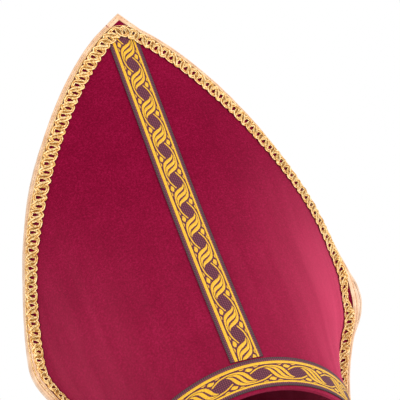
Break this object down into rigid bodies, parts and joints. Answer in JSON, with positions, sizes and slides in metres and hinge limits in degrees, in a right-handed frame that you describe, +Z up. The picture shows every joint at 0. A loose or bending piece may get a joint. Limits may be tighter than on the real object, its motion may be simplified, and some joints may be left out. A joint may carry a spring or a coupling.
{
  "type": "bishop mitre",
  "caption": "Tall pointed liturgical hat: two curved felt shields sewn at the sides, with bound edges, gold braid and woven ribbon up the middle and round the foot.",
  "frame": {"origin": "middle of the box round the hat, on the surface that it rests on", "axes": "+Z up, -Y out of the front of the hat, +X to the viewer's right as the front is looked at; resting by itself the hat leans back 8 degrees towards +Y"},
  "size_m": [0.2638, 0.21, 0.3818],
  "materials": {
    "felt": "crimson wool felt, matt with a short nap",
    "satin": "peach-gold satin bias tape with a soft sheen",
    "gold_braid": "openwork gimp braid of pale gold cords",
    "woven_ribbon": "jacquard ribbon, yellow interlace on purple"
  },
  "bodies": {
    "root": {"front_panel": "felt", "back_panel": "felt", "front_binding": "satin", "back_binding": "satin", "front_braid": "gold_braid", "back_braid": "gold_braid", "front_ribbon": "woven_ribbon", "back_ribbon": "woven_ribbon", "front_band": "woven_ribbon", "back_band": "woven_ribbon"}
  },
  "joints": []
}
